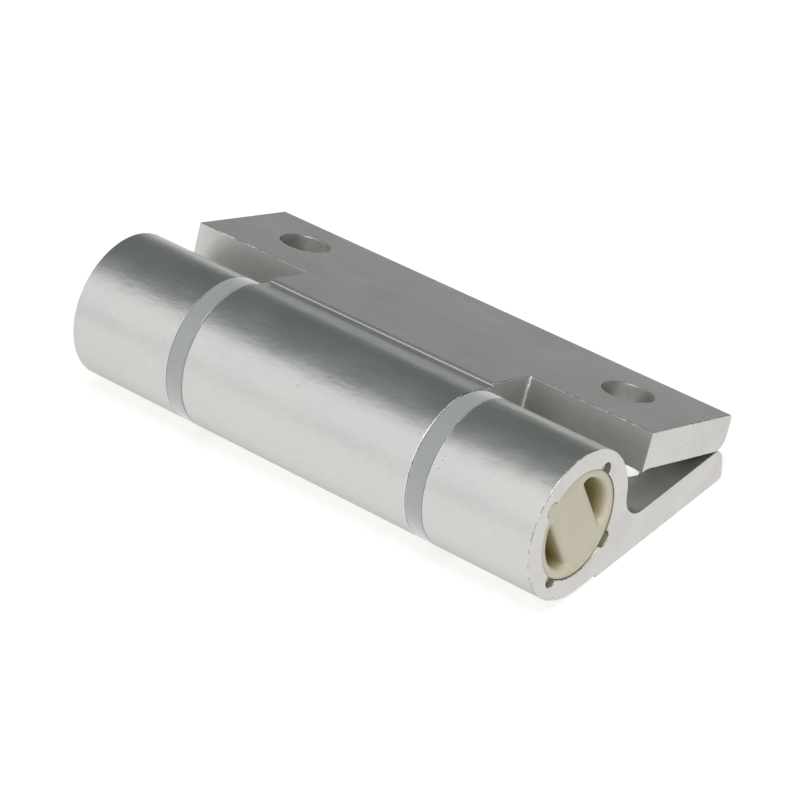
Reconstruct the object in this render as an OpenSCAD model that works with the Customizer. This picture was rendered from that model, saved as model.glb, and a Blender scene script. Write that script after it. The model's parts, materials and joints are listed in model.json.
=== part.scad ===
// Sprung butt hinge cut from one extruded aluminium profile.
// X runs along the barrel, Y runs from the barrel to the leaf tips, Z is up.
// The origin is the middle of the fixed leaf's two holes, on its mounting face.

/* [Barrel] */
// Radius of the barrel
barrel_r = 12.8; // [12:0.1:14]
// Length of the hinge along the barrel
hinge_len = 96; // [90:1:120]
// Length of the middle knuckle
middle_len = 47; // [44:1:52]
// Gap between a middle and an outer knuckle, which a flanged bush fills
knuckle_gap = 3.5; // [2.5:0.1:4]
// Radius of the bore through the knuckles
bore_r = 9.3; // [9.2:0.05:9.6]
// Radius of the round keyways along the bore
groove_r = 1.45; // [1.2:0.05:1.6]
// Distance from the axis to the centre of a keyway
groove_at = 9.35; // [9.2:0.05:9.6]

/* [Leaves] */
// Distance from the axis to the tip of a leaf
leaf_reach = 39.2; // [38:0.1:46]
// Thickness of a leaf
leaf_t = 6.4; // [5.5:0.1:7]
// How far the mounting face stands proud of the barrel
pad_step = 0.6; // [0.5:0.1:1]
// Radius along the top of that step
pad_top_r = 0.2; // [0.1:0.05:0.25]
// Radius along the foot of that step
pad_foot_r = 0.25; // [0.1:0.05:0.25]
// Distance from the axis to the edge of the mounting face
pad_at = 5; // [4:0.1:8]
// Radius between the barrel and the inner face of a leaf
fillet_r = 4.5; // [3:0.1:5]
// Radius of the tip on the inner face
tip_inner_r = 2.5; // [1.5:0.1:3]
// Radius of the tip on the mounting face
tip_outer_r = 0.9; // [0.4:0.1:1.5]
// Space between a knuckle and the milled wall that faces it
notch_room = 2.4; // [2:0.1:4]
// Radius that the cutter leaves in the corners of a notch
notch_r = 0.4; // [0.2:0.1:2]
// Gap between the tips of the closed leaves
tip_gap = 0.15; // [0.1:0.05:0.5]

/* [Mounting holes] */
// Radius of a mounting hole
hole_r = 4.5; // [3:0.1:5]
// Radius of the countersink on the inner face
sink_r = 8.2; // [6:0.1:8.4]
// Distance between the two holes of a leaf
hole_spacing = 69; // [62:0.5:74]
// Distance from the axis to the line of the holes
hole_at = 27.7; // [26:0.1:30]

/* [Bushes and journals] */
// Length of the bush sleeve inside the middle knuckle
bush_len = 10; // [8:0.5:11]
// Wall of the bush sleeve
bush_wall = 1.2; // [1:0.1:1.3]
// Wall of the journal inside the bush
journal_wall = 1.3; // [1:0.05:1.3]
// Length of the journal shoulder inside the outer knuckle
shoulder_len = 9.8; // [8:0.1:10]

/* [End caps] */
// How far the cap lies below the end of the barrel
cap_recess = 0.2; // [0.1:0.1:1]
// Wall of the cap rim
cap_wall = 1.5; // [1:0.1:1.8]
// How far three of the cap's keys stop short of its face, while one runs out to it as a mark
cap_key_short = 0.8; // [0.5:0.1:4]
// Width of the web across the cap
cap_web = 7.2; // [5.8:0.1:8]
// Angle of the web across the cap
cap_web_deg = 112; // [90:1:135]
// Depth of the two key pockets
cap_pocket = 6; // [5:0.1:6.4]
// How far the walls of a key pocket lean in over its depth
cap_draft = 1; // [0.2:0.1:1.4]

/* [Springs and pin] */
// Diameter of the spring wire
wire_d = 1.8; // [1.5:0.1:1.9]
// Mean radius of the spring coil
coil_r = 5.5; // [5.4:0.05:5.6]
// Turns of one spring
coil_turns = 11; // [9:1:11]
// Radius of the bend from the coil to an end leg
leg_bend = 1.5; // [1.2:0.1:1.8]
// Depth of a leg in its hole
leg_depth = 3.2; // [2.5:0.1:3.4]
// Radius of the pin
pin_r = 2.5; // [2:0.1:2.6]
// Depth of the pin in each cap
pin_depth = 3.2; // [2:0.1:3.4]
// Width of the spring anchor in the middle of the barrel
anchor_w = 10; // [9:0.5:11]
// Thickness of a pin clip
clip_t = 0.8; // [0.6:0.1:1]
// Depth of the clip groove in the pin
clip_groove = 0.5; // [0.3:0.05:0.6]
// Outer radius of a pin clip
clip_r = 3.8; // [3.4:0.1:3.8]

/* [Clearances] */
// Radial clearance of pieces keyed into the bore
seat_clear = 0.05; // [0.03:0.01:0.08]
// Radial clearance of the journal in the bush and the pin in its caps
run_clear = 0.05; // [0.03:0.01:0.08]
// Clearance at each end of the bush flanges
end_clear = 0.05; // [0.03:0.01:0.2]
// Clearance of a key in its keyway
key_clear = 0.1; // [0.05:0.01:0.15]
// Radial clearance of a spring leg in its hole
leg_clear = 0.1; // [0.05:0.01:0.15]

/* [Hidden] */
$fn = 96;

// How far a cutter runs past the face that it opens
past = 1;

// Heights across the leaf profile, from the axis
face_n = barrel_r + pad_step;
inner_n = face_n - leaf_t;
fillet_n = inner_n - fillet_r;
fillet_u = sqrt(pow(barrel_r + fillet_r, 2) - pow(fillet_n, 2));
notch_u = barrel_r + notch_room;

// The leaves are closed when the round tip edge of each meets the other's flat inner face.
tip_u = leaf_reach - tip_inner_r;
tip_n = inner_n + tip_inner_r;
closed_deg = 2 * (atan2(tip_n, tip_u) - asin((tip_inner_r + tip_gap / 2) / norm([tip_u, tip_n])));

// Places along the barrel, from its middle
half_len = hinge_len / 2;
half_middle = middle_len / 2;
outer_from = half_middle + knuckle_gap;
bush_from = half_middle - bush_len;
shoulder_from = outer_from + end_clear;
shoulder_to = shoulder_from + shoulder_len;
cap_from = shoulder_to + 2 * end_clear;
cap_to = half_len - cap_recess;
cap_floor = cap_to - cap_pocket;
half_anchor = anchor_w / 2;
clip_from = half_anchor + end_clear;
pin_to = cap_from + pin_depth;

// Radii from the bore inwards
seat_r = bore_r - seat_clear;
key_r = groove_r - key_clear;
bush_r = seat_r - bush_wall;
journal_r = bush_r - run_clear;
journal_bore_r = journal_r - journal_wall;
leg_hole_r = wire_d / 2 + leg_clear;
socket_r = pin_r + run_clear;

// The four keyways, from the line of the leaf, and the one where the cap's key runs out to its face
KEYWAYS = [45, 135, 225, 315];
CAP_MARK_KEY = [135];

// Each spring runs from its leg in the anchor to its leg in the cap.
leg_from = half_anchor - leg_depth;
coil_from = clip_from + clip_t + wire_d + leg_bend / 2;
coil_to = cap_from - leg_bend - wire_d / 3;
leg_to = cap_from + leg_depth;
coil_pitch = (coil_to - coil_from) / coil_turns;
bend_deg = leg_bend / coil_r * 180 / PI;
anchor_leg_deg = 0;
cap_leg_deg = anchor_leg_deg - 360 * coil_turns - 2 * bend_deg;

// Rings of a coil turn, steps of a bend and sides of the wire
turn_rings = 8;
bend_steps = 4;
wire_sides = 6;

// A point of the wire's centre line is [place along the barrel, angle round it].
function bend_in() = [
    for (k = [0 : bend_steps - 1])
        let (a = 90 * k / bend_steps)
        [coil_from - leg_bend * (1 - sin(a)), anchor_leg_deg - bend_deg * (1 - cos(a))]
];
function coil() = [
    for (k = [0 : coil_turns * turn_rings])
        let (turn = k / turn_rings)
        [coil_from + coil_pitch * turn, anchor_leg_deg - bend_deg - 360 * turn]
];
function bend_out() = [
    for (k = [1 : bend_steps])
        let (a = 90 * k / bend_steps)
        [coil_to + leg_bend * (1 - cos(a)), cap_leg_deg + bend_deg * (1 - sin(a))]
];
function wire_line() = concat(
    [[leg_from, anchor_leg_deg], [coil_from - leg_bend - wire_d, anchor_leg_deg]],
    bend_in(), coil(), bend_out(),
    [[leg_to - wire_d, cap_leg_deg], [leg_to, cap_leg_deg]]
);
function on_coil(p) = [p[0], coil_r * cos(p[1]), coil_r * sin(p[1])];
function unit(v) = v / norm(v);

// The least gap from wire to wire, between points a turn or more apart
function wire_gap(points) = min([
    for (i = [0 : len(points) - 1])
        for (j = [i + turn_rings : 1 : len(points) - 1])
            norm(points[i] - points[j])
]) - wire_d;
echo(least_gap_of_the_spring_wire = wire_gap([for (p = wire_line()) on_coil(p)]));

// Moves the barrel's own frame, centred on its axis, to its place.
module at_barrel() {
    translate([0, -hole_at, face_n])
        children();
}

// Turns a piece with the moving leaf, from flat to its closed place.
module at_moving() {
    at_barrel()
        rotate([-closed_deg, 0, 0])
            children();
}

// Extrudes an outline across the barrel, from one place along it to another.
module along(from, to) {
    translate([from, 0, 0])
        rotate([90, 0, 90])
            linear_extrude(to - from)
                children();
}

// The waste outside a rounded corner whose point is at the origin and whose body lies at +x, +y
module corner_waste(r) {
    difference() {
        translate([-past, -past])
            square(r + past);
        translate([r, r])
            circle(r);
    }
}

// The plate of a leaf, with its rounded tip and the small step up to the mounting face
module plate_outline() {
    difference() {
        translate([0, inner_n])
            square([leaf_reach, leaf_t]);
        translate([leaf_reach, inner_n])
            mirror([1, 0])
                corner_waste(tip_inner_r);
        translate([leaf_reach, face_n])
            rotate(180)
                corner_waste(tip_outer_r);
        difference() {
            translate([-past, barrel_r])
                square([pad_at + past, pad_step + past]);
            translate([pad_at, barrel_r])
                mirror([1, 0])
                    corner_waste(pad_foot_r, $fn = 32);
        }
        translate([pad_at, face_n])
            mirror([0, 1])
                corner_waste(pad_top_r, $fn = 32);
    }
}

// The hollow curve between the barrel and the inner face of the leaf
module fillet_outline() {
    difference() {
        polygon([[0, 0], [fillet_u, fillet_n], [fillet_u, inner_n], [0, inner_n]]);
        translate([fillet_u, fillet_n])
            circle(fillet_r);
    }
}

// Round bars at the keyways, as waste or as keys
module keyway_rounds(r, angles) {
    for (a = angles)
        rotate(a)
            translate([groove_at, 0])
                circle(r, $fn = 48);
}

// The whole extruded profile, which both leaves share
module leaf_outline() {
    difference() {
        union() {
            circle(barrel_r);
            plate_outline();
            fillet_outline();
        }
        circle(bore_r);
        keyway_rounds(groove_r, KEYWAYS);
    }
}

// The two mounting holes of a leaf, each with a right-angled countersink on the inner face
module leaf_holes() {
    for (side = [-1, 1])
        translate([side * hole_spacing / 2, hole_at, inner_n]) {
            cylinder(h = leaf_t + past, r = hole_r);
            translate([0, 0, -past])
                cylinder(h = sink_r - hole_r + past, r1 = sink_r + past, r2 = hole_r);
        }
}

// A notch from one place along the barrel to another, as deep as the milled wall.
// Only the corners named round are left with the cutter's radius.
module notch(from, to, round_from, round_to) {
    reach = notch_u + face_n + past;
    translate([0, 0, -barrel_r - past])
        linear_extrude(barrel_r + face_n + 2 * past)
            difference() {
                translate([from, notch_u - reach])
                    square([to - from, reach]);
                if (round_from)
                    translate([from, notch_u])
                        mirror([0, 1])
                            corner_waste(notch_r);
                if (round_to)
                    translate([to, notch_u])
                        rotate(180)
                            corner_waste(notch_r);
            }
}

module fixed_leaf() {
    color("silver")
        at_barrel()
            mirror([0, 0, 1])
                difference() {
                    along(-half_len, half_len)
                        leaf_outline();
                    notch(-outer_from, outer_from, true, true);
                    leaf_holes();
                }
}

module moving_leaf() {
    color("silver")
        at_moving()
            difference() {
                along(-half_len, half_len)
                    leaf_outline();
                notch(half_middle, half_len + past, true, false);
                notch(-half_len - past, -half_middle, false, true);
                leaf_holes();
            }
}

// Flanged bush on the +X side: the flange shows between two knuckles, the sleeve is keyed
// into the middle one.
module bush() {
    difference() {
        union() {
            along(half_middle, outer_from - end_clear)
                circle(barrel_r);
            along(bush_from, half_middle) {
                circle(seat_r);
                keyway_rounds(key_r, KEYWAYS);
            }
        }
        along(bush_from - past, outer_from + past)
            circle(bush_r);
    }
}

// Journal on the +X side: its shoulder is keyed into the outer knuckle, its spigot runs in the bush.
module journal() {
    difference() {
        union() {
            along(shoulder_from, shoulder_to) {
                circle(seat_r);
                keyway_rounds(key_r, KEYWAYS);
            }
            along(bush_from, shoulder_from)
                circle(journal_r);
        }
        along(bush_from - past, shoulder_to + past)
            circle(journal_bore_r);
    }
}

// The two D-shaped pockets of a cap on the +X side, whose walls lean in towards the floor
module cap_pockets() {
    lean = cap_draft / cap_pocket;
    mouth_r = seat_r - cap_wall;
    floor_half = cap_web / 2 + cap_draft;
    above_half = cap_web / 2 - lean * past;
    difference() {
        translate([cap_floor, 0, 0])
            rotate([0, 90, 0])
                cylinder(h = cap_pocket + past, r1 = mouth_r - cap_draft, r2 = mouth_r + lean * past);
        rotate([cap_web_deg - 90, 0, 0])
            linear_extrude(2 * bore_r, center = true)
                polygon([
                    [cap_floor - past, -floor_half - lean * past], [cap_to + past, -above_half],
                    [cap_to + past, above_half], [cap_floor - past, floor_half + lean * past],
                ]);
    }
}

// End cap on the +X side, which holds the spring's outer leg and is turned a keyway at a time to wind it
module end_cap() {
    difference() {
        union() {
            along(cap_from, cap_to) {
                circle(seat_r);
                keyway_rounds(key_r, CAP_MARK_KEY);
            }
            along(cap_from, cap_to - cap_key_short)
                keyway_rounds(key_r, KEYWAYS);
        }
        cap_pockets();
        along(cap_from - past, pin_to + end_clear)
            circle(socket_r);
        along(cap_from - past, leg_to + end_clear)
            rotate(cap_leg_deg)
                translate([coil_r, 0])
                    circle(leg_hole_r);
    }
}

// A torsion spring on the +X side, swept as one tube along its centre line
module spring() {
    line = wire_line();
    points = [for (p = line) on_coil(p)];
    last = len(points) - 1;
    rings = [
        for (k = [0 : last])
            let (
                ahead = unit(points[min(k + 1, last)] - points[max(k - 1, 0)]),
                out = [0, cos(line[k][1]), sin(line[k][1])],
                flat_out = unit(out - (out * ahead) * ahead),
                aside = cross(ahead, flat_out)
            )
            for (s = [0 : wire_sides - 1])
                let (a = 360 * s / wire_sides)
                points[k] + wire_d / 2 * (cos(a) * flat_out + sin(a) * aside)
    ];
    skin = [
        for (k = [0 : last - 1])
            for (s = [0 : wire_sides - 1])
                let (a = k * wire_sides + s, b = k * wire_sides + (s + 1) % wire_sides)
                for (face = [[a, a + wire_sides, b], [b, a + wire_sides, b + wire_sides]])
                    face
    ];
    ends = [
        for (s = [1 : wire_sides - 2])
            for (face = [[0, s, s + 1], [0, s + 1, s] + last * wire_sides * [1, 1, 1]])
                face
    ];
    polyhedron(points = rings, faces = concat(skin, ends));
}

// A split clip on the +X side that snaps into the pin's groove
module pin_clip() {
    along(clip_from, clip_from + clip_t)
        difference() {
            circle(clip_r, $fn = 48);
            circle(pin_r - clip_groove + seat_clear, $fn = 48);
            translate([-pin_r * 0.6, 0])
                square([pin_r * 1.2, clip_r + past]);
        }
}

module left_bush() {
    color("slategray") at_moving() mirror([1, 0, 0]) bush();
}

module right_bush() {
    color("slategray") at_moving() bush();
}

module left_journal() {
    color("ivory") at_barrel() mirror([1, 0, 0]) journal();
}

module right_journal() {
    color("ivory") at_barrel() journal();
}

module left_end_cap() {
    color("wheat") at_barrel() mirror([1, 0, 0]) end_cap();
}

module right_end_cap() {
    color("wheat") at_barrel() end_cap();
}

module left_spring() {
    color("dimgray") at_barrel() mirror([1, 0, 0]) spring();
}

module right_spring() {
    color("dimgray") at_barrel() spring();
}

// Keyed disc in the middle of the barrel that turns the springs' inner legs with the moving leaf
module spring_anchor() {
    color("ivory")
        difference() {
            at_moving()
                along(-half_anchor, half_anchor) {
                    circle(seat_r);
                    keyway_rounds(key_r, KEYWAYS);
                }
            at_barrel() {
                along(-half_anchor - past, half_anchor + past)
                    circle(socket_r);
                for (side = [0, 1])
                    mirror([side, 0, 0])
                        along(leg_from - end_clear, half_anchor + past)
                            rotate(anchor_leg_deg)
                                translate([coil_r, 0])
                                    circle(leg_hole_r);
            }
        }
}

module pivot_pin() {
    color("gainsboro")
        at_barrel()
            difference() {
                along(-pin_to, pin_to)
                    circle(pin_r);
                for (side = [0, 1])
                    mirror([side, 0, 0])
                        along(half_anchor, clip_from + clip_t + end_clear)
                            difference() {
                                circle(pin_r + past);
                                circle(pin_r - clip_groove);
                            }
            }
}

module left_pin_clip() {
    color("gray") at_moving() mirror([1, 0, 0]) pin_clip();
}

module right_pin_clip() {
    color("gray") at_moving() pin_clip();
}

fixed_leaf();
moving_leaf();
left_bush();
right_bush();
left_journal();
right_journal();
left_end_cap();
right_end_cap();
left_spring();
right_spring();
spring_anchor();
pivot_pin();
left_pin_clip();
right_pin_clip();
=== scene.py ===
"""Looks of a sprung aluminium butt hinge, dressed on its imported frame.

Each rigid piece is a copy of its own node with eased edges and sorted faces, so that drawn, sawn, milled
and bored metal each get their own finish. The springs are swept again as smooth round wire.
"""

import json
import logging
import math
from dataclasses import dataclass, field, replace
from enum import Enum, IntEnum
from typing import Iterable, Sequence

import bmesh
import bpy
from mathutils import Matrix, Vector

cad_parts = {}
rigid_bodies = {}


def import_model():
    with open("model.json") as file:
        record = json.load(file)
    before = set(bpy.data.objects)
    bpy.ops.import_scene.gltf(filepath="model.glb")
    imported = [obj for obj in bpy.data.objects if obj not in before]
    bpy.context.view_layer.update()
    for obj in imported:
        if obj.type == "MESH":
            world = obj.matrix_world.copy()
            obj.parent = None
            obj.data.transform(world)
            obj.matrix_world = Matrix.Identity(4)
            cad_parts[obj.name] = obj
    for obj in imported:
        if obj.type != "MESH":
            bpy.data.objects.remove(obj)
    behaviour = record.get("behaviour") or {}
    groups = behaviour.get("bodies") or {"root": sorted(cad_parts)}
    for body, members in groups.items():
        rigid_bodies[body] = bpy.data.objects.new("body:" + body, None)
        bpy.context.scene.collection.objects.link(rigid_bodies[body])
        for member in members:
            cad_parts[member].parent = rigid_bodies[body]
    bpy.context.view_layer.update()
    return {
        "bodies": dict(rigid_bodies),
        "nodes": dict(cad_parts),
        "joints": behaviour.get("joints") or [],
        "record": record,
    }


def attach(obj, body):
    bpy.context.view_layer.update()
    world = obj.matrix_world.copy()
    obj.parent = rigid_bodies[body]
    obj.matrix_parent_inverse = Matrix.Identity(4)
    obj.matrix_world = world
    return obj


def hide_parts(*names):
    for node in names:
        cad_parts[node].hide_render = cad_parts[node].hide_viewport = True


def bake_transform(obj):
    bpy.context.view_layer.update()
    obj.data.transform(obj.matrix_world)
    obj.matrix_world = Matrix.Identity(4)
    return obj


log = logging.getLogger("hinge")

MM = 0.001
ALONG = Vector((1.0, 0.0, 0.0))

# How far off a flat or a round surface a point may lie and still count as on it
ON_FLAT_MM = 0.02
ON_ROUND_MM = 0.05

# The places of a Mix node's sockets for colours
MIX_FACTOR = 0
MIX_FIRST = 6
MIX_SECOND = 7
MIX_RESULT = 2

Colour = tuple[float, float, float]
WHITE: Colour = (1.0, 1.0, 1.0)


class Side(Enum):
    """The two ends of the barrel."""

    LEFT = -1.0
    RIGHT = 1.0

    def name_of(self, piece: str) -> str:
        """The node's name for a piece on this side."""
        return self.name.lower() + "_" + piece


class Skin(IntEnum):
    """The finish of a leaf's face, which is also its place in the leaf's materials."""

    EXTRUDED = 0
    # a darker copy of the anodised skin on the mounting faces: painted shade
    PLANED = 1
    SAWN = 2
    MILLED = 3
    BORED = 4
    EASED = 5
    # a dark edge line: painted shade, with a few dashes of painted highlight
    BURRED = 6
    # a dark line along the pad's step: painted shade
    CREASED = 7
    # a bright edge line: painted highlight
    RUBBED = 8
    # a lighter copy of the anodised skin on the inner faces between the leaves: painted light
    INSIDE = 9


def mm(*values: float) -> Vector:
    """Millimetres as a vector in metres."""
    return Vector(values) * MM


# Shader tools


class Signal:
    """One output socket that arithmetic can be done on."""

    def __init__(self, shader: "Shader", socket: bpy.types.NodeSocket) -> None:
        """Keeps the shader that new nodes go into, and the socket."""
        self.shader = shader
        self.socket = socket

    def _math(self, operation: str, first: object, second: object) -> "Signal":
        """Adds a Math node for an operation on two values."""
        return self.shader.node("ShaderNodeMath", {"operation": operation}, {0: first, 1: second})

    def __add__(self, other: object) -> "Signal":
        """self + other."""
        return self._math("ADD", self, other)

    def __radd__(self, other: object) -> "Signal":
        """other + self."""
        return self._math("ADD", other, self)

    def __sub__(self, other: object) -> "Signal":
        """self - other."""
        return self._math("SUBTRACT", self, other)

    def __rsub__(self, other: object) -> "Signal":
        """other - self."""
        return self._math("SUBTRACT", other, self)

    def __mul__(self, other: object) -> "Signal":
        """self * other."""
        return self._math("MULTIPLY", self, other)

    def __rmul__(self, other: object) -> "Signal":
        """other * self."""
        return self._math("MULTIPLY", other, self)

    def at_least(self, other: object) -> "Signal":
        """The larger of self and other."""
        return self._math("MAXIMUM", self, other)

    def step(self, low: float, high: float) -> "Signal":
        """Rises smoothly from 0 at low to 1 at high, or falls where high is below low.

        Args:
            low: the value at which the result is 0.
            high: the value at which the result is 1.

        Returns:
            The signal between 0 and 1.
        """
        ends = (low, high, 0.0, 1.0) if low < high else (high, low, 1.0, 0.0)
        inputs = {"Value": self}
        inputs |= dict(zip(("From Min", "From Max", "To Min", "To Max"), ends))
        return self.shader.node("ShaderNodeMapRange", {"interpolation_type": "SMOOTHSTEP"}, inputs)


class Shader:
    """A node tree that is filled through one method."""

    def __init__(self, tree: bpy.types.NodeTree) -> None:
        """Empties the tree."""
        self.tree = tree
        tree.nodes.clear()

    def node(
        self, kind: str, settings: dict | None = None, inputs: dict | None = None, out: int | str = 0
    ) -> Signal:
        """Adds a node.

        Args:
            kind: the node's type.
            settings: its properties, set before its sockets.
            inputs: values or signals, by socket name or number.
            out: the output that is wanted.

        Returns:
            The signal of that output.
        """
        made = self.tree.nodes.new(kind)
        for key, value in (settings or {}).items():
            setattr(made, key, value)
        for key, value in (inputs or {}).items():
            if isinstance(value, Signal):
                self.tree.links.new(value.socket, made.inputs[key])
            else:
                made.inputs[key].default_value = value
        return Signal(self, made.outputs[out])

    def beside(self, signal: Signal, out: int | str) -> Signal:
        """Another output of the node that a signal comes from."""
        return Signal(self, signal.socket.node.outputs[out])

    def place(self, stretch: Sequence[float] = WHITE, turn: Sequence[float] = (0.0, 0.0, 0.0)) -> Signal:
        """Object coordinates in millimetres, stretched and then turned.

        Args:
            stretch: the scale along each axis.
            turn: the turn about each axis, in radians.

        Returns:
            The signal of the coordinates.
        """
        coords = self.node("ShaderNodeTexCoord", out="Object")
        scale = tuple(s / MM for s in stretch)
        return self.node("ShaderNodeMapping", {}, {"Vector": coords, "Rotation": turn, "Scale": scale})

    def parts(self, vector: Signal) -> tuple[Signal, Signal, Signal]:
        """The three components of a vector."""
        split = self.node("ShaderNodeSeparateXYZ", {}, {0: vector})
        return split, self.beside(split, 1), self.beside(split, 2)

    def noise(self, where: Signal, scale: float, detail: float = 3.0, rough: float = 0.5) -> Signal:
        """A noise of about 0.5 on average."""
        inputs = {"Vector": where, "Scale": scale, "Detail": detail, "Roughness": rough}
        return self.node("ShaderNodeTexNoise", {}, inputs)

    def dots(self, spacing_mm: float, radius_mm: float, share: float) -> Signal:
        """Scattered small round dots, 1 inside a dot.

        Args:
            spacing_mm: the size of the cells that may each hold a dot.
            radius_mm: the radius of a dot.
            share: how many of the cells hold one.

        Returns:
            The mask of the dots.
        """
        scale = 1.0 / spacing_mm
        away = self.node("ShaderNodeTexVoronoi", {}, {"Vector": self.place(), "Scale": scale})
        chance = self.parts(self.beside(away, "Color"))[0]
        edge = radius_mm * scale
        return away.step(edge, edge * 0.5) * chance.step(1.0 - share, 1.0 - share * 0.9)

    def mix(self, factor: object, first: object, second: object) -> Signal:
        """Mixes two colours.

        Args:
            factor: the share of the second colour, as a number or a signal.
            first: a colour or a signal.
            second: a colour or a signal.

        Returns:
            The signal of the mixed colour.
        """
        inputs = {MIX_FACTOR: factor}
        for place, colour in ((MIX_FIRST, first), (MIX_SECOND, second)):
            inputs[place] = (*colour, 1.0) if isinstance(colour, tuple) else colour
        return self.node("ShaderNodeMix", {"data_type": "RGBA"}, inputs, MIX_RESULT)

    def bump(self, height: Signal, depth_mm: float, under: Signal | None = None) -> Signal:
        """Bends the normal by a height of 0 to 1.

        Args:
            height: the signal of the height.
            depth_mm: how deep a height of 1 is.
            under: the normal of a coarser bump below this one, if there is one.

        Returns:
            The signal of the normal.
        """
        inputs = {"Height": height, "Strength": 1.0, "Distance": depth_mm * MM}
        if under:
            inputs["Normal"] = under
        return self.node("ShaderNodeBump", {}, inputs)

    def output(self, body: Signal, kind: str = "ShaderNodeOutputMaterial") -> None:
        """Joins a shader to the tree's output."""
        out = self.tree.nodes.new(kind)
        self.tree.links.new(body.socket, out.inputs["Surface"])

    def surface(self, sockets: dict) -> None:
        """A Principled shader joined to the output."""
        self.output(self.node("ShaderNodeBsdfPrincipled", {}, sockets))


def new_material(name: str) -> tuple[bpy.types.Material, Shader]:
    """Makes an empty node material.

    Args:
        name: the material's name.

    Returns:
        The material and its shader.
    """
    made = bpy.data.materials.new(name)
    made.use_nodes = True
    return made, Shader(made.node_tree)


# Finishes


@dataclass(frozen=True)
class ExtrudedSkin:
    """Satin anodised skin: die lines along X, soft waves, crinkled patches, flecks and scattered pits.

    Where the skin is seen at a flat angle, its reflection is tinted with the grazing colour.
    """

    colour: Colour = (0.586, 0.592, 0.583)
    warm: Colour = (0.612, 0.603, 0.586)
    pit: Colour = (0.06, 0.06, 0.06)
    grazing: Colour = WHITE
    roughness: float = 0.33
    wave_mm: float = 0.10
    crinkle_mm: float = 0.038
    line_mm: float = 0.004
    fleck_share: float = 0.055
    cloud_scale: float = 0.11
    wave_scale: float = 0.30
    line_scale: float = 2.2
    crinkle_scale: float = 0.85
    patch_scale: float = 0.06
    grain_scale: float = 8.0
    fleck_scale: float = 1.6
    pit_spacing_mm: float = 1.5
    pit_r_mm: float = 0.13
    pit_share: float = 0.08

    def material(self, name: str) -> bpy.types.Material:
        """Makes the finish.

        Args:
            name: the material's name.

        Returns:
            The material.
        """
        made, sh = new_material(name)
        cloud = sh.noise(sh.place((0.6, 1.0, 1.0)), self.cloud_scale, 4.0, 0.55)
        wave = sh.noise(sh.place((0.5, 1.0, 1.0)), self.wave_scale, 3.0, 0.55)
        lines = sh.noise(sh.place((0.02, 1.0, 1.0)), self.line_scale, 3.0, 0.6)
        crinkle = sh.noise(sh.place((0.8, 1.0, 1.0)), self.crinkle_scale, 4.0, 0.6)
        patch = sh.noise(sh.place(), self.patch_scale, 2.0, 0.5).step(0.46, 0.6)
        grain = sh.noise(sh.place(), self.grain_scale, 2.0, 0.6)
        pits = sh.dots(self.pit_spacing_mm, self.pit_r_mm, self.pit_share)
        fleck = sh.noise(sh.place(), self.fleck_scale, 3.0, 0.7).step(0.3, 0.7) * self.fleck_share
        tint = sh.mix(cloud.step(0.35, 0.7), self.colour, self.warm)
        tint = sh.mix(pits.at_least(fleck), tint, self.pit)
        rough = self.roughness + (cloud - 0.5) * 0.16 + (lines - 0.5) * 0.06 + (wave - 0.5) * 0.08
        soft = sh.bump(wave, self.wave_mm)
        skin = sh.bump(crinkle * patch, self.crinkle_mm, soft)
        normal = sh.bump(lines * 0.6 + grain * 0.4 - pits * 4.0, self.line_mm, skin)
        sockets = {"Base Color": tint, "Metallic": 1.0, "Roughness": rough, "Normal": normal}
        sockets["Specular Tint"] = (*self.grazing, 1.0)
        sh.surface(sockets)
        return made


@dataclass(frozen=True)
class CutMetal:
    """Bare cut metal with tool marks that run one way."""

    colour: Colour
    dull: Colour
    roughness: float
    mark_stretch: tuple[float, float, float]
    mark_turn: tuple[float, float, float] = (0.0, 0.0, 0.0)
    mark_scale: float = 4.0
    mark_mm: float = 0.006
    cloud_scale: float = 0.22
    cloud_mm: float = 0.03
    pit: Colour = (0.12, 0.12, 0.12)
    pit_spacing_mm: float = 1.6
    pit_r_mm: float = 0.14
    pit_share: float = 0.05

    def material(self, name: str) -> bpy.types.Material:
        """Makes the finish.

        Args:
            name: the material's name.

        Returns:
            The material.
        """
        made, sh = new_material(name)
        cloud = sh.noise(sh.place(), self.cloud_scale, 4.0, 0.6)
        marks = sh.noise(sh.place(self.mark_stretch, self.mark_turn), self.mark_scale, 3.0, 0.6)
        pits = sh.dots(self.pit_spacing_mm, self.pit_r_mm, self.pit_share)
        tint = sh.mix(cloud.step(0.3, 0.7), self.colour, self.dull)
        tint = sh.mix(pits, tint, self.pit)
        rough = self.roughness + (cloud - 0.5) * 0.14
        soft = sh.bump(cloud, self.cloud_mm)
        normal = sh.bump(marks, self.mark_mm, soft)
        sh.surface({"Base Color": tint, "Metallic": 1.0, "Roughness": rough, "Normal": normal})
        return made


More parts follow.
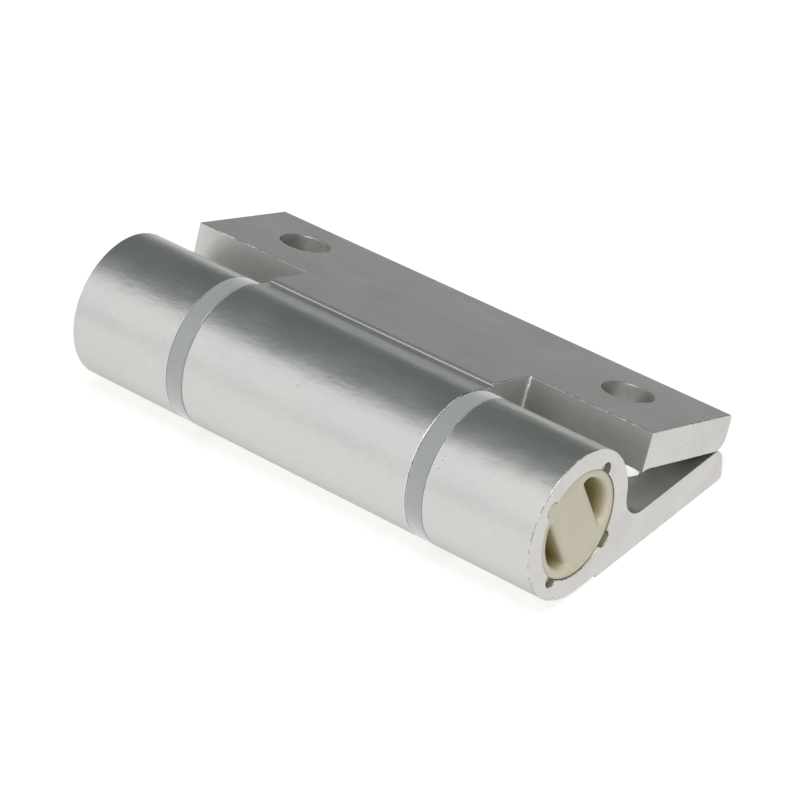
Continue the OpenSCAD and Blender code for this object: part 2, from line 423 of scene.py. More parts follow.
@dataclass(frozen=True)
class EdgeMetal:
    """A narrow edge, plain in some stretches and in others dark with dirt and painted shade, and bright in
    dashes.

    The bright dashes are painted highlights and wear. They are partly matt, so that they catch the light from
    any side. The higher marked is, the more of the edge is marked, and the higher the dashes' threshold is,
    the fewer dashes there are.
    """

    plain: Colour
    # the colour of dirt and painted shade
    dark: Colour
    # the colour of painted highlights and wear
    bright: Colour
    marked: float
    dash_mm: float = 0.8
    stretch_mm: float = 9.0
    roughness: float = 0.32
    matt_share: float = 0.6
    rub_and_highlight_from: float = 0.53
    blur: float = 0.05
    dirt_and_shade_scale: float = 0.6
    grain_scale: float = 2.5
    grain_mm: float = 0.05

    def material(self, name: str) -> bpy.types.Material:
        """Makes the finish.

        Args:
            name: the material's name.

        Returns:
            The material.
        """
        made, sh = new_material(name)
        dash = sh.noise(sh.place(), 1.0 / self.dash_mm, 3.0, 0.65)
        dirt_and_shade = sh.noise(sh.place(), self.dirt_and_shade_scale, 2.0, 0.5)
        stretch = sh.noise(sh.place(), 1.0 / self.stretch_mm, 1.0, 0.5)
        level = 0.5 - 0.2 * (self.marked - 0.5)
        here = stretch.step(level - self.blur, level + self.blur)
        # Dark stretches: dirt and painted shade.
        tint = sh.mix(here * dirt_and_shade.step(0.42, 0.52), self.plain, self.dark)
        # Bright dashes: painted highlights and wear.
        rub_and_highlight = here * dash.step(self.rub_and_highlight_from, self.rub_and_highlight_from + self.blur)
        tint = sh.mix(rub_and_highlight, tint, self.bright)
        metallic = 1.0 - rub_and_highlight * self.matt_share
        normal = sh.bump(sh.noise(sh.place(), self.grain_scale, 2.0), self.grain_mm)
        sh.surface({"Base Color": tint, "Metallic": metallic, "Roughness": self.roughness, "Normal": normal})
        return made


@dataclass(frozen=True)
class Moulded:
    """Moulded plastic with a faint mottle, a fine skin and some light passed inside.

    Where a deep colour is given, the plastic turns to it from the first to the second of its two places along
    the barrel: painted shade in the depth of the cap's pockets.
    The sheen makes it paler where it is seen at a flat angle.
    """

    colour: Colour
    shade: Colour
    roughness: float = 0.45
    glow_share: float = 0.0
    deep_shade: Colour | None = None
    deep_shade_from_mm: float = 47.4
    deep_shade_to_mm: float = 44.6
    sheen: float = 0.0
    glow_radius: Colour = (1.0, 0.8, 0.45)
    cloud_scale: float = 0.2
    grain_scale: float = 5.0
    grain_mm: float = 0.01

    def material(self, name: str) -> bpy.types.Material:
        """Makes the finish.

        Args:
            name: the material's name.

        Returns:
            The material.
        """
        made, sh = new_material(name)
        cloud = sh.noise(sh.place(), self.cloud_scale, 4.0, 0.55)
        grain = sh.noise(sh.place(), self.grain_scale, 2.0)
        tint = sh.mix(cloud.step(0.35, 0.7), self.colour, self.shade)
        # The pockets darken with depth: painted shade.
        if self.deep_shade:
            x = sh.parts(sh.place())[0]
            tint = sh.mix((x * x).step(self.deep_shade_from_mm**2, self.deep_shade_to_mm**2), tint, self.deep_shade)
        rough = self.roughness + (cloud - 0.5) * 0.1
        normal = sh.bump(grain, self.grain_mm)
        sockets = {"Base Color": tint, "Roughness": rough, "Normal": normal, "Sheen Weight": self.sheen}
        if self.glow_share:
            sockets["Subsurface Weight"] = self.glow_share
            sockets["Subsurface Radius"] = self.glow_radius
            sockets["Subsurface Scale"] = MM
        sh.surface(sockets)
        return made


@dataclass(frozen=True)
class Steel:
    """Drawn or ground steel with fine marks along X."""

    colour: Colour
    roughness: float = 0.3
    dark_share: float = 0.8
    mark_scale: float = 6.0
    mark_mm: float = 0.006

    def material(self, name: str) -> bpy.types.Material:
        """Makes the finish.

        Args:
            name: the material's name.

        Returns:
            The material.
        """
        made, sh = new_material(name)
        marks = sh.noise(sh.place((0.1, 1.0, 1.0)), self.mark_scale, 3.0, 0.6)
        darker = tuple(c * self.dark_share for c in self.colour)
        tint = sh.mix(marks.step(0.3, 0.7), self.colour, darker)
        rough = self.roughness + (marks - 0.5) * 0.2
        normal = sh.bump(marks, self.mark_mm)
        sh.surface({"Base Color": tint, "Metallic": 1.0, "Roughness": rough, "Normal": normal})
        return made


# Pieces


@dataclass
class RigidCopy:
    """A copy of a node with eased edges, which takes the node's place."""

    node: str
    body: str
    slot: str
    finishes: Sequence[bpy.types.Material]
    edge_mm: float = 0.15
    edge_segments: int = 2
    sharp_deg: float = 28.0
    flat_deg: float = 0.4
    merge_m: float = 1e-7
    normal_weight: int = 80

    def sharp_edges(self, bm: bmesh.types.BMesh) -> list[bmesh.types.BMEdge]:
        """The edges where two faces meet at more than the sharp angle."""
        limit = math.radians(self.sharp_deg)
        return [e for e in bm.edges if len(e.link_faces) == 2 and e.calc_face_angle(0.0) > limit]

    def bevel(
        self, bm: bmesh.types.BMesh, edges: Iterable[bmesh.types.BMEdge], width_mm: float, segments: int
    ) -> list[bmesh.types.BMFace]:
        """Rounds edges.

        Args:
            bm: the mesh.
            edges: the edges to round.
            width_mm: how far the rounding reaches on each side.
            segments: its number of strips.

        Returns:
            The faces of the rounding.
        """
        made = bmesh.ops.bevel(
            bm, geom=list(edges), offset=width_mm * MM, offset_type="OFFSET", segments=segments,
            profile=0.5, affect="EDGES", material=-1, clamp_overlap=False,
        )
        return made["faces"]

    def sort(self, bm: bmesh.types.BMesh) -> None:
        """Gives each face its finish. A piece of one finish needs none."""

    def ease(self, bm: bmesh.types.BMesh) -> None:
        """Rounds every sharp edge a little."""
        self.bevel(bm, self.sharp_edges(bm), self.edge_mm, self.edge_segments)

    def build(self, frame: dict) -> bpy.types.Object:
        """Makes the copy and seats it on its body.


        Returns:
            The new object.
        """
        source = frame["nodes"][self.node]
        bm = bmesh.new()
        bm.from_mesh(source.data)
        bmesh.ops.transform(bm, matrix=source.matrix_world, verts=bm.verts)
        bmesh.ops.remove_doubles(bm, verts=bm.verts, dist=self.merge_m)
        flat = math.radians(self.flat_deg)
        bmesh.ops.dissolve_limit(bm, angle_limit=flat, verts=bm.verts, edges=bm.edges)
        self.sort(bm)
        self.ease(bm)
        for face in bm.faces:
            face.smooth = True
        mesh = bpy.data.meshes.new(self.node + "_dressed")
        bm.to_mesh(mesh)
        bm.free()
        for finish in self.finishes:
            mesh.materials.append(finish)
        piece = bpy.data.objects.new(mesh.name, mesh)
        bpy.context.scene.collection.objects.link(piece)
        weigh = piece.modifiers.new("even_normals", "WEIGHTED_NORMAL")
        weigh.weight = self.normal_weight
        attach(piece, self.body)
        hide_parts(self.node)
        log.info("%s rides on %s, %d faces", piece.name, self.body, len(mesh.polygons))
        return piece


@dataclass
class Leaf(RigidCopy):
    """A leaf with its knuckles, cut from the extrusion.

    Its sizes are places along the barrel (x), across the leaf from the axis (u) and towards its mounting face
    from the axis (n). The last ones say how near a face has to lie to a place, and how it has to look, to get
    a finish.
    """

    axis_at: Vector = field(default_factory=Vector)
    face_normal: Vector = field(default_factory=Vector)
    half_len_mm: float = 48.0
    half_middle_mm: float = 23.5
    outer_from_mm: float = 27.0
    barrel_r_mm: float = 12.8
    face_n_mm: float = 13.4
    notch_u_mm: float = 15.2
    hole_u_mm: float = 27.7
    hole_x_mm: float = 34.5
    sink_r_mm: float = 8.2
    pad_at_mm: float = 5.0
    crease_n_mm: float = 13.1
    inside_from_mm: float = 13.0
    inner_n_mm: float = 7.0
    wear_and_shade_from_mm: float = -33.0
    dark_rim_from_mm: float = 12.3
    crisp_mm: float = 0.04
    slack_mm: float = 0.1
    strip_mm: float = 0.3
    rim_mm: float = 0.4
    corner_mm: float = 0.5
    outside_mm: float = 1.0
    flat_from: float = 0.95
    wall_to: float = 0.9
    end_from: float = 0.7
    upright_to: float = 0.5
    slant_from: float = 0.1
    slant_to: float = 0.99

    def local(self, point: Vector) -> tuple[float, float, float]:
        """Places a point by the leaf.

        Args:
            point: the point in the frame.

        Returns:
            Millimetres along the barrel, across the leaf and towards its mounting face.
        """
        across = self.face_normal.cross(ALONG)
        across *= math.copysign(1.0, across.y)
        away = (point - self.axis_at) / MM
        return away.x, away.dot(across), away.dot(self.face_normal)

    def in_hole(self, x: float, u: float) -> bool:
        """True within the reach of a mounting hole's countersink."""
        return math.hypot(abs(x) - self.hole_x_mm, u - self.hole_u_mm) < self.sink_r_mm + self.strip_mm

    def skin_of(self, face: bmesh.types.BMFace) -> Skin:
        """Tells a face's finish from where it lies and looks.

        Args:
            face: the face.

        Returns:
            Its finish.
        """
        x, u, n = self.local(face.calc_center_median())
        facing = face.normal.dot(self.face_normal)
        endways = abs(face.normal.x)
        # The mounting face gets a darker copy of the skin: painted shade.
        if facing > self.flat_from and n > self.face_n_mm - self.slack_mm:
            return Skin.PLANED
        if self.in_hole(x, u) and abs(facing) < self.wall_to:
            return Skin.BORED
        # The strip along the pad's step gets a dark line: painted shade.
        if n > self.crease_n_mm and abs(u - self.pad_at_mm) < self.strip_mm:
            return Skin.CREASED
        # The notch's corner gets a bright line: painted highlight.
        if abs(u - self.notch_u_mm) < self.corner_mm and self.slant_from < endways < self.slant_to:
            return Skin.RUBBED
        if endways > self.end_from:
            return Skin.SAWN if abs(x) > self.half_len_mm - self.slack_mm else Skin.MILLED
        if abs(u - self.notch_u_mm) < self.strip_mm and abs(facing) < self.upright_to:
            return Skin.MILLED
        # The inner faces get a lighter copy of the skin: painted light.
        inside = u > self.inside_from_mm and n < self.inner_n_mm + self.slack_mm
        return Skin.INSIDE if inside else Skin.EXTRUDED

    def edge_skin_of(self, face: bmesh.types.BMFace) -> Skin:
        """Tells a rounding's finish: burred, painted shade, or rubbed, painted highlight, where a cutter came
        out, else eased.

        Args:
            face: a face of the rounding.

        Returns:
            Its finish.
        """
        x, u, n = self.local(face.calc_center_median())
        outside = n > self.face_n_mm - self.outside_mm
        if self.in_hole(x, u):
            return Skin.PLANED if outside else Skin.BORED
        # The outer edges by the notch: where the rounding looks out it is a dark line, painted shade, with
        # burrs.
        if outside and u < self.notch_u_mm + self.corner_mm and x > self.wear_and_shade_from_mm:
            return Skin.BURRED if face.normal.dot(self.face_normal) > self.end_from else Skin.EASED
        on_barrel = abs(math.hypot(u, n) - self.barrel_r_mm) < self.strip_mm
        # Beside the middle knuckle the rim is a dark line, painted shade, towards the mounting face, and a
        # bright line, painted highlight, further round.
        if on_barrel and abs(x - self.half_middle_mm) < self.rim_mm:
            return Skin.BURRED if n > self.dark_rim_from_mm else Skin.RUBBED
        # The rim at the outer knuckle's inner end is a bright line: painted highlight.
        return Skin.RUBBED if on_barrel and abs(x - self.outer_from_mm) < self.rim_mm else Skin.EASED

    def on_crisp_rim(self, edge: bmesh.types.BMEdge) -> bool:
        """Tells whether an edge runs along the inner rim of the left outer knuckle.

        Args:
            edge: the edge.

        Returns:
            True where it does.
        """
        places = [self.local(v.co) for v in edge.verts]
        level = all(abs(x + self.outer_from_mm) < ON_FLAT_MM for x, _, _ in places)
        return level and all(abs(math.hypot(u, n) - self.barrel_r_mm) < ON_ROUND_MM for _, u, n in places)

    def sort(self, bm: bmesh.types.BMesh) -> None:
        """Gives each face its finish."""
        for face in bm.faces:
            face.material_index = self.skin_of(face)

    def ease(self, bm: bmesh.types.BMesh) -> None:
        """Rounds the sharp edges, the crisp rim less than the others, and gives the roundings their finish.

        Args:
            bm: the mesh.
        """
        edges = [e for e in self.sharp_edges(bm) if not self.on_crisp_rim(e)]
        for face in self.bevel(bm, edges, self.edge_mm, self.edge_segments):
            face.material_index = self.edge_skin_of(face)
        crisp = [e for e in self.sharp_edges(bm) if self.on_crisp_rim(e)]
        for face in self.bevel(bm, crisp, self.crisp_mm, self.edge_segments):
            face.material_index = Skin.EXTRUDED


@dataclass
class Bush(RigidCopy):
    """A flanged bush, whose flange has a softer rim towards the middle knuckle than its other edges."""

    axis_at: Vector = field(default_factory=Vector)
    flange_r_mm: float = 12.8
    inner_x_mm: float = 23.5
    rim_mm: float = 0.4
    rim_segments: int = 4

    def on_rim(self, edge: bmesh.types.BMEdge) -> bool:
        """Tells whether an edge runs along the flange's rim beside the middle knuckle.

        Args:
            edge: the edge.

        Returns:
            True where it does.
        """
        away = [(v.co - self.axis_at) / MM for v in edge.verts]
        beside = all(abs(abs(a.x) - self.inner_x_mm) < ON_FLAT_MM for a in away)
        return beside and all(abs(math.hypot(a.y, a.z) - self.flange_r_mm) < ON_ROUND_MM for a in away)

    def ease(self, bm: bmesh.types.BMesh) -> None:
        """Rounds the flange's inner rim widely and every other sharp edge a little.

        Args:
            bm: the mesh.
        """
        rims = [e for e in self.sharp_edges(bm) if self.on_rim(e)]
        self.bevel(bm, rims, self.rim_mm, self.rim_segments)
        self.bevel(bm, self.sharp_edges(bm), self.edge_mm, self.edge_segments)


@dataclass
class EndCap(RigidCopy):
    """The plastic cap in the end of the barrel, whose two pockets are sunk again with soft rims and corners.

    A pocket's rim flares by flare_mm, less by sidle_mm on the side of the rounded wall and more by as much on
    the side of the web. Its wall leans in by lean_mm and ends in a foot that is rounded by foot_mm.
    """

    side: Side = Side.RIGHT
    axis_at: Vector = field(default_factory=Vector)
    face_x_mm: float = 47.8
    floor_x_mm: float = 41.8
    mouth_r_mm: float = 7.75
    half_web_mm: float = 3.6
    web_deg: float = 112.0
    near_mm: float = 0.4
    arc_segments: int = 96
    corner_mm: float = 3.2
    spare_mm: float = 0.3
    corner_segments: int = 8
    flare_mm: float = 1.3
    flare_steps: int = 6
    sidle_mm: float = 0.65
    swell_mm: float = 0.9
    lean_mm: float = 0.3
    foot_mm: float = 0.4
    foot_steps: int = 4

    def local(self, point: Vector) -> tuple[float, float]:
        """A point as millimetres along the barrel, towards this cap's end, and away from the axis."""
        away = (point - self.axis_at) / MM
        return away.x * self.side.value, math.hypot(away.y, away.z)

    def clear(self, bm: bmesh.types.BMesh) -> None:
        """Takes away the outer face and both pockets.

        Args:
            bm: the mesh.
        """
        gone = []
        for face in bm.faces:
            places = [self.local(v.co) for v in face.verts]
            on_face = all(abs(x - self.face_x_mm) < ON_FLAT_MM for x, _ in places)
            deep_enough = all(x > self.floor_x_mm - ON_FLAT_MM for x, _ in places)
            in_mouth = all(r < self.mouth_r_mm + self.near_mm for _, r in places)
            if on_face or (deep_enough and in_mouth):
                gone.append(face)
        bmesh.ops.delete(bm, geom=gone, context="FACES")

    def mouth(self, bm: bmesh.types.BMesh, across: Vector) -> bmesh.types.BMFace:
        """Makes a pocket's outline, a D with rounded corners in the plane of the outer face.

        Args:
            bm: the mesh.
            across: the direction from the web to the middle of the pocket.

        Returns:
            The face inside the outline.
        """
        turn = Matrix.Rotation(math.radians(90.0), 4, "Y")
        middle = self.axis_at + ALONG * self.side.value * self.face_x_mm * MM
        radius = (self.mouth_r_mm + self.flare_mm - self.sidle_mm) * MM
        made = bmesh.ops.create_circle(
            bm, cap_ends=True, segments=self.arc_segments, radius=radius,
            matrix=Matrix.Translation(middle) @ turn,
        )
        parts = dict.fromkeys(part for v in made["verts"] for part in (v, *v.link_edges, *v.link_faces))
        line = middle + across * (self.half_web_mm + self.swell_mm - self.flare_mm - self.sidle_mm) * MM
        cut = bmesh.ops.bisect_plane(bm, geom=list(parts), plane_co=line, plane_no=across, clear_inner=True)
        tips = [part for part in cut["geom_cut"] if isinstance(part, bmesh.types.BMVert)]
        face = tips[0].link_faces[0]
        near = []
        for vert in face.verts:
            gap = min((vert.co - tip.co).length for tip in tips)
            if 0.0 < gap < (self.corner_mm + self.spare_mm) * MM:
                near.append(vert)
        bmesh.ops.dissolve_verts(bm, verts=near)
        rounded = bmesh.ops.bevel(
            bm, geom=tips, offset=self.corner_mm * MM, offset_type="OFFSET", segments=self.corner_segments,
            profile=0.5, affect="VERTICES", material=-1, clamp_overlap=False,
        )
        return rounded["verts"][0].link_faces[0]

    def sink(self, bm: bmesh.types.BMesh, face: bmesh.types.BMFace, across: Vector) -> None:
        """Sinks a pocket step by step: a rounded rim, a leaning wall and a rounded foot.

        Args:
            bm: the mesh.
            face: the face inside the pocket's outline.
            across: the direction from the web to the middle of the pocket.
        """
        inwards = ALONG * -self.side.value
        inset, down = 0.0, 0.0
        for k in range(1, self.flare_steps + 1):
            a = math.radians(90.0 * k / self.flare_steps)
            wider, deeper = self.flare_mm * math.sin(a), self.flare_mm * (1.0 - math.cos(a))
            bmesh.ops.inset_region(bm, faces=[face], thickness=(wider - inset) * MM, use_even_offset=True)
            aside = across * self.sidle_mm * (wider - inset) / self.flare_mm
            bmesh.ops.translate(bm, vec=(inwards * (deeper - down) + aside) * MM, verts=face.verts)
            inset, down = wider, deeper
        wall = self.face_x_mm - self.floor_x_mm - self.foot_mm - self.flare_mm
        steps = [(self.lean_mm, wall)]
        for k in range(self.foot_steps):
            a, b = (math.radians(90.0 * (k + n) / self.foot_steps) for n in range(2))
            narrower, deeper = math.cos(a) - math.cos(b), math.sin(b) - math.sin(a)
            steps.append((self.foot_mm * narrower, self.foot_mm * deeper))
        for narrower, deeper in steps:
            face = bmesh.ops.extrude_discrete_faces(bm, faces=[face])["faces"][0]
            middle = face.calc_center_bounds()
            matrix = Matrix.Translation(middle + inwards * deeper * MM)
            for way in (across, across.cross(ALONG)):
                reach = max((v.co - middle).dot(way) for v in face.verts) / MM
                matrix = matrix @ Matrix.Scale(1.0 - narrower / reach, 4, way)
            bmesh.ops.transform(bm, matrix=matrix @ Matrix.Translation(-middle), verts=face.verts)

    def ease(self, bm: bmesh.types.BMesh) -> None:
        """Makes the outer face and the pockets anew, and rounds the other sharp edges a little.

        Args:
            bm: the mesh.
        """
        self.clear(bm)
        turn = math.radians(self.web_deg - 90.0)
        across = Vector((0.0, math.cos(turn), math.sin(turn)))
        pockets = [(self.mouth(bm, way), way) for way in (across, -across)]
        rims = [e for e in bm.edges if e.is_boundary]
        bmesh.ops.triangle_fill(bm, use_beauty=True, edges=rims, normal=ALONG * self.side.value)
        for face, way in pockets:
            self.sink(bm, face, way)
        bmesh.ops.recalc_face_normals(bm, faces=bm.faces)
        self.bevel(bm, self.sharp_edges(bm), self.edge_mm, self.edge_segments)


@dataclass
class TorsionSpring:
    """A spring of round wire: a leg in the anchor, a bend, the coil, a bend and a leg in the cap."""

    side: Side
    axis_at: Vector
    finish: bpy.types.Material
    wire_d_mm: float = 1.8
    coil_r_mm: float = 5.5
    turns: int = 11
    bend_mm: float = 1.5
    leg_from_mm: float = 1.8
    coil_from_mm: float = 8.4
    coil_to_mm: float = 34.85
    leg_to_mm: float = 40.15
    leg_deg: float = 0.0
    turn_steps: int = 36
    bend_steps: int = 6
    sides: int = 14
    still_mm: float = 0.5

    def line(self) -> list[tuple[float, float]]:
        """Lays the wire's centre line.

        Returns:
            Its places along the barrel in millimetres, each with its angle in degrees.
        """
        bend_deg = math.degrees(self.bend_mm / self.coil_r_mm)
        first = self.leg_deg - bend_deg
        last = first - 360.0 * self.turns
        steps = [90.0 * k / self.bend_steps for k in range(self.bend_steps)]
        turned = [(math.sin(math.radians(a)), math.cos(math.radians(a))) for a in steps]
        points = [(self.leg_from_mm, self.leg_deg)]
        for sine, cosine in turned:
            x = self.coil_from_mm - self.bend_mm * (1 - sine)
            points.append((x, self.leg_deg - bend_deg * (1 - cosine)))
        count = self.turns * self.turn_steps
        pitch = (self.coil_to_mm - self.coil_from_mm) / count
        for k in range(count + 1):
            points.append((self.coil_from_mm + pitch * k, first - 360.0 * k / self.turn_steps))
        for sine, cosine in reversed(turned):
            points.append((self.coil_to_mm + self.bend_mm * (1 - sine), last - bend_deg * cosine))
        points.append((self.leg_to_mm, last - bend_deg))
        return points

    def frames(self) -> list[Matrix]:
        """Sets a frame at each point of the line.

        Returns:
            The frames, with Z along the wire and X away from the barrel's axis.
        """
        line = self.line()
        turns = [math.radians(deg) for _, deg in line]
        outs = [Vector((0.0, math.cos(a), math.sin(a))) for a in turns]
        points = [mm(x, 0.0, 0.0) + out * self.coil_r_mm * MM for (x, _), out in zip(line, outs)]
        made = []
        for k, (point, out) in enumerate(zip(points, outs)):
            ahead = (points[min(k + 1, len(points) - 1)] - points[max(k - 1, 0)]).normalized()
            flat_out = (out - ahead * out.dot(ahead)).normalized()
            aside = ahead.cross(flat_out)
            turn = Matrix((flat_out, aside, ahead)).transposed().to_4x4()
            made.append(Matrix.Translation(point) @ turn)
        return made

    def build(self) -> bpy.types.Object:
        """Sweeps the wire and puts it in place of the node.

        Returns:
            The new object.
        """
        node = self.side.name_of("spring")
        frames = self.frames()
        bm = bmesh.new()
        ring = bmesh.ops.create_circle(
            bm, cap_ends=True, segments=self.sides, radius=self.wire_d_mm / 2 * MM, matrix=frames[0],
        )
        edges = list(dict.fromkeys(e for v in ring["verts"] for e in v.link_edges))
        for before, after in zip(frames, frames[1:]):
            made = bmesh.ops.extrude_edge_only(bm, edges=edges)["geom"]
            verts = {g for g in made if isinstance(g, bmesh.types.BMVert)}
            edges = [g for g in made if isinstance(g, bmesh.types.BMEdge) and set(g.verts) <= verts]
            bmesh.ops.transform(bm, matrix=after @ before.inverted(), verts=list(verts))
        bmesh.ops.edgeloop_fill(bm, edges=edges)
        seat = Matrix.Translation(self.axis_at) @ Matrix.Diagonal((self.side.value, 1.0, 1.0, 1.0))
        bmesh.ops.transform(bm, matrix=seat, verts=bm.verts)
        bmesh.ops.recalc_face_normals(bm, faces=bm.faces)
        for face in bm.faces:
            face.smooth = len(face.verts) == 4
        mesh = bpy.data.meshes.new(node + "_dressed")
        bm.to_mesh(mesh)
        bm.free()
        mesh.materials.append(self.finish)
        piece = bpy.data.objects.new(mesh.name, mesh)
        bpy.context.scene.collection.objects.link(piece)
        cap_end = self.axis_at + mm(self.side.value * (self.coil_to_mm + self.still_mm), 0.0, 0.0)
        anchor_end = self.axis_at + mm(self.side.value * (self.coil_from_mm - self.still_mm), 0.0, 0.0)
        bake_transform(piece)
        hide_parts(node)
        log.info("%s twists from the cap to the anchor, %d faces", piece.name, len(mesh.polygons))
        return piece


# The whole hinge and its setting


@dataclass
class Studio:
    """Floor, room, lamp and camera."""

    eye_mm: tuple[float, float, float] = (306.95, -384.40, 350.80)
    aim_mm: tuple[float, float, float] = (6.042, -20.414, 14.102)
    roll_deg: float = 0.08
    lens_mm: float = 161.08
    sensor_mm: float = 36.0
    near_m: float = 0.01
    far_m: float = 20.0
    floor_half_m: float = 3.0
    floor_colour: Colour = (0.84, 0.84, 0.84)
    floor_glow: Colour = (1.0, 0.978, 0.957)
    floor_strength: float = 1.25
    floor_seen: float = 0.62
    key_place_m: tuple[float, float, float] = (0.3, -0.35, 1.35)
    key_size_m: float = 0.8
    key_watts: float = 13.5
    room_tint: Colour = (0.885, 1.0, 0.95)
    overhead: float = 0.20
    low_back: float = 0.10
    right: float = 0.10
    front: float = 0.94
    front_rise: float = 0.19
    below: float = 0.9

    def camera(self) -> None:
        """Makes the camera at the photograph's viewing angle."""
        data = bpy.data.cameras.new("camera")
        data.sensor_width = self.sensor_mm
        data.lens = self.lens_mm
        data.clip_start = self.near_m
        data.clip_end = self.far_m
        cam = bpy.data.objects.new("camera", data)
        bpy.context.scene.collection.objects.link(cam)
        eye = mm(*self.eye_mm)
        look = (mm(*self.aim_mm) - eye).to_track_quat("-Z", "Y")
        turn = look.to_matrix().to_4x4() @ Matrix.Rotation(math.radians(self.roll_deg), 4, "Z")
        cam.matrix_world = Matrix.Translation(eye) @ turn
        bpy.context.scene.camera = cam

    def seen(self, sh: Shader) -> Signal:
        """Tells what the camera sees from what lights the object.

        Args:
            sh: the shader that asks.

        Returns:
            1 for what the camera sees, straight on, in metal or through glass.
        """
        rays = sh.node("ShaderNodeLightPath", out="Is Camera Ray")
        shiny = rays.at_least(sh.beside(rays, "Is Glossy Ray"))
        return shiny.at_least(sh.beside(rays, "Is Transmission Ray"))

    def floor(self) -> None:
        """Makes the pale floor, which reads as white ground and keeps a faint shadow."""
        bm = bmesh.new()
        bmesh.ops.create_grid(bm, x_segments=1, y_segments=1, size=self.floor_half_m)
        mesh = bpy.data.meshes.new("floor")
        bm.to_mesh(mesh)
        bm.free()
        floor = bpy.data.objects.new("floor", mesh)
        bpy.context.scene.collection.objects.link(floor)
        made, sh = new_material("floor_white")
        matt = sh.node("ShaderNodeBsdfDiffuse", {}, {"Color": (*self.floor_colour, 1.0)})
        lit = {"Color": (*self.floor_glow, 1.0), "Strength": self.floor_strength}
        glow = sh.node("ShaderNodeEmission", {}, lit)
        sh.output(sh.node("ShaderNodeMixShader", {}, {0: self.seen(sh) * self.floor_seen, 1: matt, 2: glow}))
        mesh.materials.append(made)

    def room(self) -> None:
        """Makes the room: white in front and below, grey overhead, at the right and behind."""
        world = bpy.data.worlds.new("studio")
        world.use_nodes = True
        bpy.context.scene.world = world
        sh = Shader(world.node_tree)
        x, y, z = sh.parts(sh.node("ShaderNodeTexCoord", out="Generated"))
        front = (0.0 - y).step(-0.02, 0.48) * (self.front + z.step(0.02, 0.35) * self.front_rise)
        low_back = z.step(0.35, 0.0) * self.low_back
        right = x.step(0.1, 0.8) * self.right
        grey = self.overhead + low_back + right
        level = grey.at_least(front).at_least(z.step(0.03, -0.05) * self.below)
        tint = sh.mix(level.step(0.15, 0.9), self.room_tint, WHITE)
        rays = sh.node("ShaderNodeLightPath", out="Is Camera Ray")
        tint = sh.mix(rays, tint, WHITE)
        sky = sh.node("ShaderNodeBackground", {}, {"Color": tint, "Strength": level.at_least(rays)})
        sh.output(sky, "ShaderNodeOutputWorld")

    def key(self) -> None:
        """Makes the soft key lamp in front and above."""
        data = bpy.data.lights.new("key", "AREA")
        data.shape = "DISK"
        data.size = self.key_size_m
        data.energy = self.key_watts
        lamp = bpy.data.objects.new("key", data)
        bpy.context.scene.collection.objects.link(lamp)
        place = Vector(self.key_place_m)
        lamp.matrix_world = Matrix.Translation(place) @ (-place).to_track_quat("-Z", "Y").to_matrix().to_4x4()

    def build(self) -> None:
        """Makes the whole setting."""
        self.camera()
        self.floor()
        self.room()
        self.key()


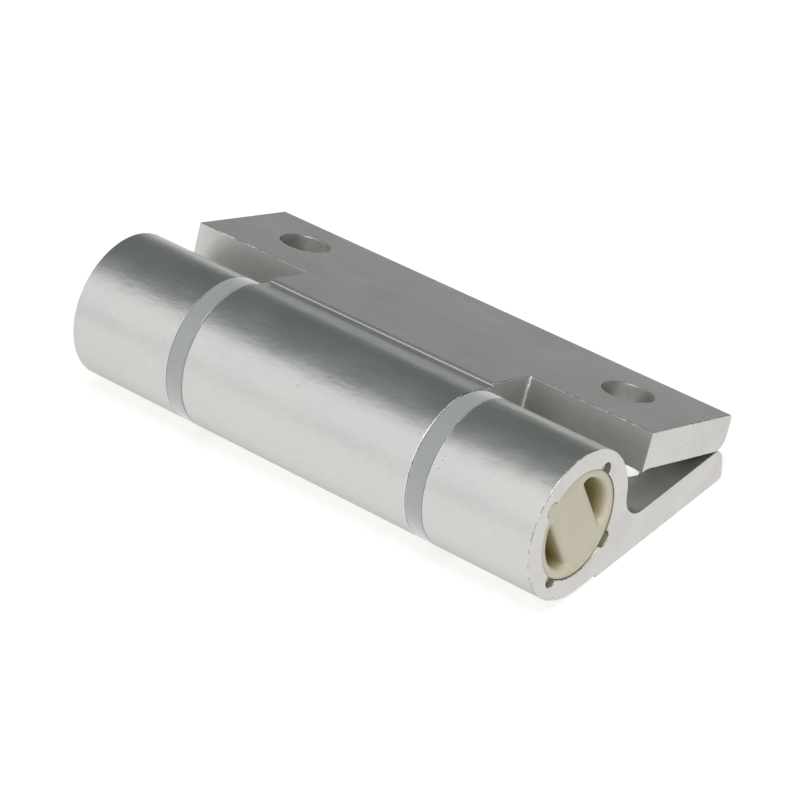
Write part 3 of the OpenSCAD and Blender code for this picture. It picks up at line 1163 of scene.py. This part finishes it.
@dataclass
class Hinge:
    """The whole hinge, dressed node by node."""

    frame: dict

    def axis_at(self) -> Vector:
        """A point of the hinge's axis, in the middle of the barrel."""
        return Vector(self.frame["record"]["behaviour"]["joints"][0]["pos_m"])

    def face_normal(self, mount_name: str) -> Vector:
        """The outward normal of a leaf's mounting face."""
        mounts = {m["name"]: m for m in self.frame["record"]["mounts"]}
        return Vector(mounts[mount_name]["axis"])

    def leaves(self) -> None:
        """Dresses the two leaves."""
        # The inner faces get a lighter copy of the anodised skin: painted light that lifts the shade between
        # the leaves.
        inside = ExtrudedSkin((0.74, 0.745, 0.73), (0.77, 0.765, 0.74), roughness=0.36)
        # The mounting faces get a darker copy of the anodised skin, painted shade, with finer bumps and no
        # flecks.
        planed_shaded = ExtrudedSkin((0.402, 0.415, 0.408), (0.420, 0.425, 0.414), roughness=0.38)
        planed_shaded = replace(planed_shaded, wave_mm=0.015, crinkle_mm=0.012, line_mm=0.002, fleck_share=0.0)
        sawn = CutMetal((0.64, 0.63, 0.615), (0.61, 0.60, 0.583), 0.5, (1.0, 0.08, 1.0), (0.5, 0.0, 0.0))
        milled = CutMetal((0.62, 0.62, 0.60), (0.56, 0.56, 0.54), 0.46, (0.06, 1.0, 1.0))
        bored = CutMetal((0.72, 0.72, 0.69), (0.50, 0.50, 0.47), 0.42, (1.0, 1.0, 0.04))
        bored = replace(bored, mark_scale=1.2, mark_mm=0.05)
        eased = EdgeMetal((0.58, 0.585, 0.57), (0.34, 0.34, 0.33), (0.66, 0.66, 0.65), 0.7)
        # The burred edges are a dark line: painted shade, with burrs.
        burr_and_shade = EdgeMetal((0.24, 0.24, 0.23), (0.10, 0.095, 0.09), (0.80, 0.80, 0.78), 1.0)
        burr_and_shade = replace(burr_and_shade, rub_and_highlight_from=0.58)
        # The step edge is a dark line: painted shade.
        creased = EdgeMetal((0.28, 0.285, 0.275), (0.17, 0.17, 0.165), (0.50, 0.50, 0.49), -0.5)
        # The rubbed edges are a bright line: painted highlight, with wear.
        rub_and_highlight = EdgeMetal((0.70, 0.70, 0.69), (0.50, 0.50, 0.49), (0.66, 0.66, 0.65), 1.5)
        rub_and_highlight = replace(rub_and_highlight, matt_share=0.7, rub_and_highlight_from=0.42)
        finishes = {
            Skin.EXTRUDED: ExtrudedSkin(grazing=(0.78, 0.79, 0.78)).material("anodised_extruded"),
            Skin.PLANED: planed_shaded.material("planed_face"),
            Skin.SAWN: sawn.material("sawn_end"),
            Skin.MILLED: milled.material("milled_wall"),
            Skin.BORED: bored.material("bored_wall"),
            Skin.EASED: eased.material("eased_edge"),
            Skin.BURRED: burr_and_shade.material("burred_edge"),
            Skin.CREASED: creased.material("step_edge_painted_shade"),
            Skin.RUBBED: rub_and_highlight.material("rubbed_edge"),
            Skin.INSIDE: inside.material("anodised_inside_painted_light"),
        }
        listed = [finishes[skin] for skin in Skin]
        for node, body, mount in (
            ("fixed_leaf", "fixed", "fixed_leaf_face"),
            ("moving_leaf", "moving", "moving_leaf_face"),
        ):
            leaf = Leaf(node, body, "leaf_aluminium", listed, edge_mm=0.14)
            leaf.axis_at = self.axis_at()
            leaf.face_normal = self.face_normal(mount)
            leaf.build(self.frame)

    def bearings(self) -> None:
        """Dresses the flanged bushes and the journals that turn in them."""
        grey = Moulded((0.236, 0.245, 0.247), (0.220, 0.229, 0.229), roughness=0.3, sheen=1.0)
        natural = Moulded((0.62, 0.60, 0.54), (0.58, 0.56, 0.50), roughness=0.5)
        acetal = grey.material("acetal_grey")
        nylon = natural.material("nylon_natural")
        for side in Side:
            bush = Bush(side.name_of("bush"), "moving", "bush_acetal", [acetal], edge_mm=0.12)
            bush.axis_at = self.axis_at()
            bush.build(self.frame)
            RigidCopy(side.name_of("journal"), "fixed", "journal_nylon", [nylon]).build(self.frame)
        RigidCopy("spring_anchor", "moving", "journal_nylon", [nylon]).build(self.frame)

    def caps(self) -> None:
        """Dresses the end caps."""
        cream = Moulded((0.57, 0.52, 0.41), (0.545, 0.50, 0.38), roughness=0.42, glow_share=0.25)
        # The cap's pockets turn dark olive with depth: painted shade.
        nylon = replace(cream, deep_shade=(0.40, 0.33, 0.15)).material("nylon_cream")
        for side in Side:
            cap = EndCap(side.name_of("end_cap"), "fixed", "cap_nylon", [nylon], edge_mm=0.2)
            cap.side = side
            cap.axis_at = self.axis_at()
            cap.build(self.frame)

    def steelwork(self) -> None:
        """Dresses the springs, the pin and its clips."""
        wire = Steel((0.30, 0.30, 0.32), 0.35).material("spring_wire")
        ground = Steel((0.62, 0.62, 0.63), 0.22).material("ground_steel")
        for side in Side:
            TorsionSpring(side, self.axis_at(), wire).build()
            clip = RigidCopy(side.name_of("pin_clip"), "moving", "spring_steel", [wire], edge_mm=0.08)
            clip.build(self.frame)
        RigidCopy("pivot_pin", "moving", "pin_steel", [ground]).build(self.frame)

    def build(self) -> None:
        """Dresses every node."""
        self.leaves()
        self.bearings()
        self.caps()
        self.steelwork()


def main() -> None:
    """Builds the studio and the hinge."""
    logging.basicConfig(level=logging.INFO, format="%(message)s")
    bpy.context.scene.view_settings.view_transform = "Standard"
    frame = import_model()
    Studio().build()
    Hinge(frame).build()


if __name__ == "__main__":
    main()
